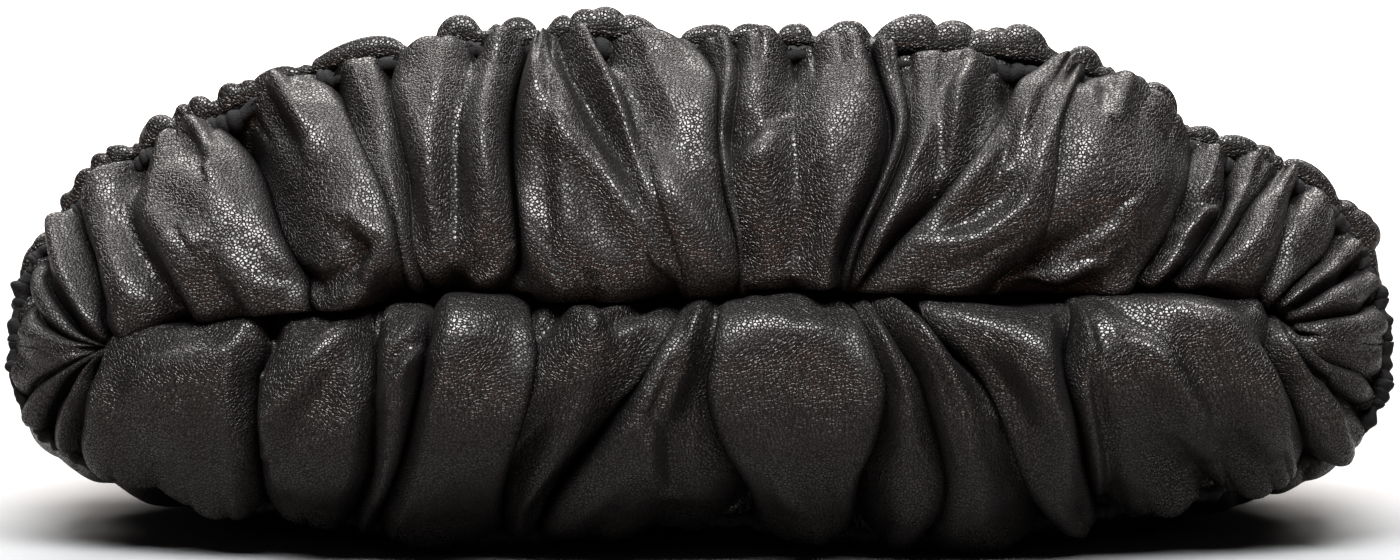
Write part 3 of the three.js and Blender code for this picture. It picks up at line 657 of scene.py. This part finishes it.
lowerBand = {
    "rise": 58 * mm, "roundness": 2.6, "setback": 3 * mm, "lobe": 32 * mm, "endLobe": 12 * mm,
    "hang": 1.4, "recede": 1.6, "lipRise": 4 * mm, "puff": 1.7 * mm,
    "spacing": 0.62 * mm, "edge": 0.05,
    "bothEdges": False, "pillow": 3 * mm, "tipLength": 12, "tipDepth": 5, "endFade": 0.025,
    "rows": np.concatenate([np.linspace(-1, -0.1, 6), np.linspace(0, 1, 96)]),
    "folds": [
        {"path": (-0.985, -0.975, -0.95, -0.935, -0.9), "depth": 3.5, "left": 4, "right": 8,
         "lean": 1},
        {"path": (-0.96, -0.94, -0.9, -0.855, -0.79), "depth": 5.5, "left": 6, "right": 10,
         "lean": 1},
        {"path": (-0.93, -0.905, -0.815, -0.71, -0.65), "depth": 8.5, "left": 14, "right": 7,
         "lean": -3},
        {"path": (-0.47, -0.466, -0.45, -0.405, -0.368), "depth": 9, "left": 9, "right": 8},
        {"path": (-0.33, -0.327, -0.302, -0.269, -0.258), "depth": 9, "left": 9, "right": 8},
        {"path": (-0.264, -0.26, -0.248, -0.245, -0.24), "depth": 8.5, "left": 6, "right": 9},
        {"path": (-0.16, -0.162, -0.15, -0.135, -0.13), "depth": 8, "left": 6, "right": 14,
         "lean": 3},
        {"path": (-0.01, -0.024, -0.034, -0.077, -0.095), "depth": 9, "left": 18, "right": 7,
         "lean": -2},
        {"path": (0.045, 0.023, 0.01, 0.022, 0.02), "depth": 9, "left": 12, "right": 6, "lean": -3},
        {"path": (0.137, 0.151, 0.153, 0.097, 0.078), "depth": 10, "left": 7, "right": 18,
         "lean": 3},
        {"path": (0.15, 0.17, 0.19, 0.18, 0.15), "depth": 5, "left": 8, "right": 6},
        {"path": (0.205, 0.222, 0.254, 0.271, 0.292), "depth": 9, "left": 14, "right": 6,
         "lean": -3},
        {"path": (0.375, 0.373, 0.345, 0.332, 0.33), "depth": 9, "left": 8, "right": 8},
        {"path": (0.42, 0.42, 0.43, 0.461, 0.468), "depth": 4, "left": 16, "right": 18,
         "crisp": 0.1},
        {"path": (0.77, 0.745, 0.71, 0.675, 0.657), "depth": 6, "left": 9, "right": 8},
        {"path": (0.82, 0.84, 0.855, 0.85, 0.85), "depth": 6, "left": 8, "right": 8},
        {"path": (0.93, 0.93, 0.935, 0.935, 0.93), "depth": 3.5, "left": 5, "right": 5},
    ],
    "dents": [
        {"line": ((-0.33, 0.29), (-0.345, 0.48), (-0.385, 0.69)), "depth": 2.5, "width": 5},
        {"line": ((-0.485, 0.05), (-0.448, 0.29), (-0.443, 0.45)), "depth": 2.5, "width": 2.5},
        {"line": ((-0.124, 0.13), (-0.135, 0.21), (-0.147, 0.3)), "depth": 2.2, "width": 3},
        {"line": ((-0.104, 0.13), (-0.095, 0.22), (-0.083, 0.31)), "depth": 2.2, "width": 3},
        {"line": ((-0.01, 0.0), (-0.047, 0.12), (-0.078, 0.3)), "depth": 2.8, "width": 2.5},
        {"line": ((-0.302, 0.18), (-0.31, 0.24), (-0.315, 0.29)), "depth": -2, "width": 2},
        {"line": ((-0.252, 0.4), (-0.267, 0.45), (-0.28, 0.51)), "depth": -2, "width": 2},
        {"line": ((-0.027, 0.56), (-0.017, 0.65), (-0.01, 0.77)), "depth": 2, "width": 3.5},
        {"line": ((0.222, 0.26), (0.235, 0.42), (0.25, 0.57)), "depth": 2, "width": 2.5},
        {"line": ((0.835, 0.68), (0.788, 0.83), (0.755, 1.0)), "depth": 2, "width": 3},
        {"line": ((-0.685, 0.29), (-0.562, 0.35), (-0.49, 0.29)), "depth": 1.2, "width": 6},
        {"line": ((0.065, 0.18), (0.093, 0.26), (0.13, 0.21)), "depth": 1.0, "width": 5},
        {"line": ((0.505, 0.14), (0.56, 0.26), (0.675, 0.21)), "depth": 1.2, "width": 6},
        {"line": ((0.43, 0.22), (0.5, 0.42), (0.53, 0.62), (0.505, 0.85)),
         "depth": 3.2, "width": 6.5},
        {"line": ((0.395, 0.07), (0.395, 0.29), (0.393, 0.44)), "depth": 2.2, "width": 2.5},
        {"line": ((0.373, 0.49), (0.36, 0.7), (0.333, 1.0)), "depth": 2.5, "width": 2.5},
    ],
    "gathers": [
        {"every": 13, "depth": 1.8, "length": 13, "wander": 0.7},
        {"every": 27, "depth": 1.3, "length": 24, "wander": 0.6},
    ],
    "waves": [
        {"across": 4, "up": 9, "height": 0.5},
        {"across": 9, "up": 12, "height": 1.5},
        {"across": 6, "up": 20, "height": 1.1, "slant": 0.9},
        {"across": 8, "up": 14, "height": 0.5, "ridged": True},
    ],
    "puffs": [],
}

faceFoldPlaces = (
    -0.9, -0.76, -0.61, -0.47, -0.34, -0.21, -0.08, 0.06, 0.19, 0.32, 0.45, 0.59, 0.73, 0.88,
)


def faceFolds(depth):
    # Soft folds that run on from the gathers and fade towards the middle of the face
    folds = []
    for index, place in enumerate(faceFoldPlaces):
        bend = 0.02 * math.sin(index * 2.3)
        folds.append({
            "path": (place, place + bend, place + 0.5 * bend, place - bend, place),
            "depth": depth * (1 if index % 2 else 0.7),
            "left": 12, "right": 9, "crisp": 0.55, "lean": 1.5 * (-1) ** index,
            "end": 0.62 if index % 2 else 1,
        })
    return folds


faceShared = {
    "rows": np.linspace(0, 1, 90), "spacing": 0.95 * mm, "endFade": 0.09,
    "edge": 0.025, "bothEdges": True, "pillow": 2 * mm, "tipLength": 12, "tipDepth": 3, "dents": [],
    "gathers": [
        {"every": 17, "depth": 3.0, "length": 20, "wander": 0.7},
        {"every": 27, "depth": 3.0, "length": 50, "wander": 0.5},
    ],
    "waves": [
        {"across": 7, "up": 7, "height": 0.6},
        {"across": 15, "up": 8, "height": 1.5},
    ],
}
upperFace = {
    **faceShared, "rise": 65 * mm, "roundness": 2.3, "setback": 17 * mm, "profile": 1.6,
    "puff": 3 * mm, "folds": faceFolds(6),
    "puffs": [
        {"place": -0.85, "wide": 0.05, "height": 5, "back": 6, "deep": 5},
        {"place": -0.7, "wide": 0.035, "height": 6, "back": 7, "deep": 6},
        {"place": -0.63, "wide": 0.03, "height": 7, "back": 7, "deep": 6},
        {"place": -0.56, "wide": 0.03, "height": 7, "back": 7, "deep": 6},
        {"place": -0.49, "wide": 0.026, "height": 8, "back": 7, "deep": 6},
        {"place": -0.435, "wide": 0.022, "height": 6, "back": 6, "deep": 6},
        {"place": -0.333, "wide": 0.075, "height": 6, "back": 9, "deep": 8},
        {"place": -0.193, "wide": 0.017, "height": 8, "back": 6, "deep": 5},
        {"place": -0.142, "wide": 0.018, "height": 6, "back": 5, "deep": 5},
        {"place": -0.09, "wide": 0.018, "height": 6, "back": 5, "deep": 5},
        {"place": -0.05, "wide": 0.03, "height": 6, "back": 6, "deep": 6},
        {"place": 0.022, "wide": 0.03, "height": 7, "back": 7, "deep": 6},
        {"place": 0.062, "wide": 0.015, "height": 6, "back": 5, "deep": 5},
        {"place": 0.103, "wide": 0.02, "height": 8, "back": 6, "deep": 6},
        {"place": 0.175, "wide": 0.04, "height": 7, "back": 7, "deep": 6},
        {"place": 0.26, "wide": 0.03, "height": 6, "back": 6, "deep": 6},
        {"place": 0.348, "wide": 0.02, "height": 5, "back": 5, "deep": 5},
        {"place": 0.425, "wide": 0.03, "height": 6, "back": 6, "deep": 5},
        {"place": 0.486, "wide": 0.025, "height": 6, "back": 6, "deep": 5},
        {"place": 0.558, "wide": 0.04, "height": 6, "back": 7, "deep": 6},
        {"place": 0.79, "wide": 0.04, "height": 6, "back": 6, "deep": 5},
    ],
}
lowerFace = {
    **faceShared, "rise": 58 * mm, "roundness": 2.6, "setback": 3 * mm, "profile": 2.6,
    "tuck": 4 * mm, "puff": 2 * mm, "folds": faceFolds(5), "puffs": [],
}


class Value:
    # A shader socket that takes part in sums, so that shader maths reads as maths

    def __init__(self, shader, socket):
        self.shader = shader
        self.socket = socket

    def combine(self, operation, first, second):
        inputs = {0: first, 1: second}
        return self.shader.node("ShaderNodeMath", {"operation": operation}, inputs)[0]

    def __add__(self, other):
        return self.combine("ADD", self, other)

    def __radd__(self, other):
        return self.combine("ADD", other, self)

    def __sub__(self, other):
        return self.combine("SUBTRACT", self, other)

    def __rsub__(self, other):
        return self.combine("SUBTRACT", other, self)

    def __mul__(self, other):
        return self.combine("MULTIPLY", self, other)

    def __rmul__(self, other):
        return self.combine("MULTIPLY", other, self)


class Shader:
    def __init__(self, name):
        self.material = bpy.data.materials.new(name)
        self.material.use_nodes = True
        self.tree = self.material.node_tree
        self.surface = self.tree.nodes["Principled BSDF"]

    def node(self, kind, settings, inputs):
        made = self.tree.nodes.new(kind)
        for key, value in settings.items():
            setattr(made, key, value)
        for key, value in inputs.items():
            self.feed(made.inputs[key], value)
        return [Value(self, socket) for socket in made.outputs]

    def feed(self, socket, value):
        if isinstance(value, Value):
            self.tree.links.new(value.socket, socket)
        else:
            socket.default_value = value

    def set(self, **values):
        for key, value in values.items():
            self.feed(self.surface.inputs[key.replace("_", " ")], value)


leather = {
    "crown": (0.003, 0.0022, 0.0019, 1),
    # painted shade colour for the creases and the grooves between pebbles
    "paintedShade": (0.0005, 0.0004, 0.0004, 1),
    "sheen": (1, 0.87, 0.8, 1),
    "grain": 0.86 * mm,  # width of one pebble of the grain
    "groove": 0.2,  # width of the groove round a pebble, as a share of it
    "relief": 0.24 * mm, "wrinkle": 3 * mm, "wrinkleRelief": 0.5 * mm,
    "patch": 14 * mm,  # size of the duller and brighter patches
    "roughness": 0.28, "patchRoughness": 0.14, "grooveRoughness": 0.25, "creaseRoughness": 0.3,
    "grooveShade": 0.5, "grooveUnlit": 0.55,
    "refraction": 1.45,
}


def makeLeather(name, look):
    shader = Shader(name)
    place = shader.node("ShaderNodeTexCoord", {}, {})[3]
    cell = {"Vector": place, "Scale": 1 / look["grain"]}
    smooth = {"interpolation_type": "SMOOTHSTEP"}
    dome = shader.node("ShaderNodeTexVoronoi", {"feature": "F1"}, cell)[0]
    border = shader.node("ShaderNodeTexVoronoi", {"feature": "DISTANCE_TO_EDGE"}, cell)[0]
    pebble = shader.node("ShaderNodeMapRange", smooth, {0: border, 1: 0.0, 2: look["groove"]})[0]
    groove = 1 - pebble
    patch = shader.node("ShaderNodeTexNoise", {},
                        {"Vector": place, "Scale": 1 / look["patch"], "Detail": 4})[0]
    wrinkle = shader.node("ShaderNodeTexNoise", {},
                          {"Vector": place, "Scale": 1 / look["wrinkle"], "Detail": 3})[0]
    # Painted shade: the crease attribute marks the crease lines that are darkened below
    crease = shader.node("ShaderNodeAttribute", {"attribute_name": "crease"}, {})[2]
    depth = shader.node("ShaderNodeMapRange", smooth, {0: crease, 1: 0.25, 2: 0.9})[0]
    height = pebble * 0.75 - dome * dome * 0.35
    grain = shader.node("ShaderNodeBump", {},
                        {"Strength": 0.8, "Distance": look["relief"], "Height": height})[0]
    normal = shader.node("ShaderNodeBump", {}, {"Strength": 0.2, "Distance": look["wrinkleRelief"],
                                                "Height": wrinkle, "Normal": grain})[0]
    # Painted shade: the colour darkens towards the shade tone in the creases and in the grooves
    # between pebbles
    tone = shader.node("ShaderNodeMix", {"data_type": "RGBA"},
                       {0: depth + groove * look["grooveShade"],
                        6: look["crown"], 7: look["paintedShade"]})[2]
    patchy = (patch - 0.5) * look["patchRoughness"]
    worn = groove * look["grooveRoughness"] + crease * look["creaseRoughness"]
    shader.set(Base_Color=tone, Roughness=look["roughness"] + patchy + worn, Normal=normal)
    shader.set(IOR=look["refraction"], Specular_Tint=look["sheen"])
    # Painted shade: little light comes back out of the bottom of a crease, or from between the
    # pebbles, so a near-black diffuse shader is mixed in there
    shadeShader = shader.node("ShaderNodeBsdfDiffuse", {}, {"Color": look["paintedShade"]})[0]
    body = Value(shader, shader.surface.outputs[0])
    unlit = 1 - (1 - depth) * (1 - groove * look["grooveUnlit"])
    both = shader.node("ShaderNodeMixShader", {}, {0: unlit, 1: body, 2: shadeShader})[0]
    shader.feed(shader.tree.nodes["Material Output"].inputs["Surface"], both)
    return shader.material


leatherFinish = makeLeather("blackNappa", leather)


def finishPiece(piece, material, node):
    piece.data.materials.append(material)
    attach(piece, "root")
    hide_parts(node)


for pieceName, panel, form, side, node in (
    ("upperBand", upperBand, bandForm, 1, "mouth_band_upper"),
    ("lowerBand", lowerBand, bandForm, -1, "mouth_band_lower"),
    ("upperFace", upperFace, faceForm, 1, "face_panel_upper"),
    ("lowerFace", lowerFace, faceForm, -1, "face_panel_lower"),
):
    finishPiece(panelMesh(pieceName, panel, form, side), leatherFinish, node)
print("panels made")


def finishNode(name, material):
    # A CAD node whose shape stays takes a better material
    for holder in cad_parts[name].material_slots:
        holder.material = material


elastic = {
    "tone": (0.003, 0.0028, 0.0028, 1),
    "thread": 0.5 * mm, "relief": 0.3 * mm,
    "roughness": 0.6, "threadRoughness": 0.3,
    "shine": 0.12,
}


def makeElastic(name, look):
    shader = Shader(name)
    place = shader.node("ShaderNodeTexCoord", {}, {})[3]
    weave = shader.node("ShaderNodeTexNoise", {},
                        {"Vector": place, "Scale": 1 / look["thread"], "Detail": 2})[0]
    normal = shader.node("ShaderNodeBump", {},
                         {"Strength": 0.8, "Distance": look["relief"], "Height": weave})[0]
    rough = look["roughness"] + weave * look["threadRoughness"]
    shader.set(Base_Color=look["tone"], Roughness=rough, Normal=normal)
    shader.set(Specular_IOR_Level=look["shine"], Specular_Tint=leather["sheen"])
    return shader.material


steel = {
    "tone": (0.42, 0.41, 0.4, 1),
    "brush": 5 * mm, "stretch": (1, 30, 30), "relief": 0.05 * mm,
    "roughness": 0.22, "brushRoughness": 0.2,
}


def makeSteel(name, look):
    shader = Shader(name)
    place = shader.node("ShaderNodeTexCoord", {}, {})[3]
    lines = shader.node("ShaderNodeMapping", {}, {"Vector": place, "Scale": look["stretch"]})[0]
    brush = shader.node("ShaderNodeTexNoise", {},
                        {"Vector": lines, "Scale": 1 / look["brush"], "Detail": 4})[0]
    normal = shader.node("ShaderNodeBump", {},
                         {"Strength": 0.3, "Distance": look["relief"], "Height": brush})[0]
    rough = look["roughness"] + brush * look["brushRoughness"]
    shader.set(Base_Color=look["tone"], Metallic=1, Roughness=rough, Normal=normal)
    return shader.material


ruche = {
    "stations": 2400, "ring": 12,
    "width": bag["seamWidth"], "height": 4.4 * mm,
    "pucker": 3.2 * mm,  # one pucker to the next
    "swell": 0.18, "sway": 0.4 * mm,
    "wander": 0.6, "uneven": 0.2,
    "sink": {1: 4 * mm, -1: 1.6 * mm},  # how far it lies inside the edges of its panels
}


def ruchedSeam(name, pathAt, look):
    # A gathered strip: puffs between the stitches, pinched at each of them
    share = np.linspace(-1, 1, look["stations"])
    centre = pathAt(share)
    along = np.gradient(centre, axis=0)
    along /= np.linalg.norm(along, axis=1, keepdims=True)
    run = np.concatenate([[0], np.cumsum(np.linalg.norm(np.diff(centre, axis=0), axis=1))])
    back = np.array((0.0, 1.0, 0.0)) - along * along[:, 1:2]
    back /= np.linalg.norm(back, axis=1, keepdims=True)
    rise = np.cross(along, back)
    wander = softNoise((len(run), 8), 30, 1)[:, :1] * look["wander"]
    phase = run[:, None] / look["pucker"] + wander
    puff = np.abs(np.sin(math.pi * phase)) ** 0.6
    uneven = 1 + look["uneven"] * softNoise((len(run), look["ring"]), 9, 1.5)
    turn = np.linspace(0, 2 * math.pi, look["ring"], endpoint=False)[None, :]
    size = (1 - look["swell"] + 1.5 * look["swell"] * puff) * uneven
    across = (np.cos(turn) * look["width"] / 2 * mix(1, size, 0.5))[..., None]
    above = np.sin(turn) * look["height"] / 2 * size + look["sway"] * np.sin(phase * 2.1)
    ring = centre[:, None] + back[:, None] * across + rise[:, None] * above[..., None]
    ring[..., 2] = np.maximum(ring[..., 2], 0)
    count = look["ring"]
    faces = []
    for station in range(len(run) - 1):
        start = station * count
        for corner in range(count):
            after = (corner + 1) % count
            faces.append([start + corner, start + count + corner,
                          start + count + after, start + after])
    faces.append(list(range(count)))
    faces.append(list(reversed(range((len(run) - 1) * count, len(run) * count))))
    mesh = bpy.data.meshes.new(name)
    mesh.from_pydata(ring.reshape(-1, 3).tolist(), [], faces)
    mesh.polygons.foreach_set("use_smooth", np.ones(len(mesh.polygons), bool))
    piece = bpy.data.objects.new(name, mesh)
    bpy.context.collection.objects.link(piece)
    return piece


def seamPath(side, panel):
    def pathAt(share):
        place = seamPoint(share, side, panel)
        place[:, 1] += bag["seamWidth"] / 2
        place[:, 2] -= side * ruche["sink"][side] * (1 - share ** 6)
        return place
    return pathAt


elasticFinish = makeElastic("darkElastic", elastic)
for pieceName, pathAt, node in (
    ("upperRuche", seamPath(1, upperBand), "elastic_seam_upper"),
    ("lowerRuche", seamPath(-1, lowerBand), "elastic_seam_lower"),
    ("baseRuche", lambda share: basePoint(share, upperFace), "base_seam"),
):
    finishPiece(ruchedSeam(pieceName, pathAt, ruche), elasticFinish, node)
finishNode("magnetic_clasp", makeSteel("brushedSteel", steel))


floor = {"size": 14, "place": (0, 4, 0), "tone": (0.2, 0.184, 0.174, 1), "roughness": 0.9}


def makeStage():
    bpy.ops.mesh.primitive_plane_add(size=floor["size"], location=floor["place"])
    plane = bpy.context.active_object
    plane.name = "floor"
    shader = Shader("paleFloor")
    shader.set(Base_Color=floor["tone"], Roughness=floor["roughness"])
    plane.data.materials.append(shader.material)
    bpy.ops.object.select_all(action="DESELECT")


# Metres, watts and degrees. The back light brightens the floor behind the bag.
softLights = {
    "topSoftbox": {"place": (0, -0.5, 0.95), "aim": (0, -0.05, 0.06), "size": (1.1, 0.45),
                   "power": 14.5, "spread": 75, "tint": (0.84, 0.93, 1)},
    "lowFill": {"place": (0, -0.85, 0.012), "aim": (0, -0.85, 1), "size": (1.6, 1.1),
                "power": 12, "spread": 180, "tint": (1, 0.5, 0.31)},
    "backSoftbox": {"place": (0, 2.1, 1.5), "aim": (0, 2.1, 0), "size": (5, 2.8),
                    "power": 620, "spread": 110, "tint": (1, 1, 1)},
}


def turnTo(thing, place, aim):
    thing.location = place
    thing.rotation_euler = (Vector(aim) - Vector(place)).to_track_quat("-Z", "Y").to_euler()
    bpy.context.collection.objects.link(thing)


def makeLight(name, settings):
    light = bpy.data.lights.new(name, "AREA")
    light.color = settings["tint"]
    light.shape = "RECTANGLE"
    light.size, light.size_y = settings["size"]
    light.energy = settings["power"]
    light.spread = math.radians(settings["spread"])
    lamp = bpy.data.objects.new(name, light)
    lamp.visible_camera = False
    turnTo(lamp, settings["place"], settings["aim"])


studio = {
    "elevation": 5.5,  # degrees above the floor
    "distance": 1.6,
    "frameWidth": 0.3545,  # width of what the camera sees at the widest part of the bag
    "sensor": 36,
    "aim": (0.0, -0.03, 0.0655),
    "ambient": 0.03,
}


def makeCamera():
    camera = bpy.data.cameras.new("camera")
    camera.sensor_width = studio["sensor"]
    camera.lens = studio["sensor"] * studio["distance"] / studio["frameWidth"]
    camera.clip_start = 0.05
    rig = bpy.data.objects.new("camera", camera)
    tilt = math.radians(studio["elevation"])
    away = Vector((0, -math.cos(tilt), math.sin(tilt))) * studio["distance"]
    turnTo(rig, Vector(studio["aim"]) + away, studio["aim"])
    bpy.context.scene.camera = rig


def makeWorld():
    world = bpy.data.worlds.new("studio")
    bpy.context.scene.world = world
    world.use_nodes = True
    background = world.node_tree.nodes["Background"]
    background.inputs["Color"].default_value = (1, 1, 1, 1)
    background.inputs["Strength"].default_value = studio["ambient"]


makeStage()
makeCamera()
for lightName, settings in softLights.items():
    makeLight(lightName, settings)
makeWorld()
bpy.context.scene.view_settings.view_transform = "Standard"
print("studio made")
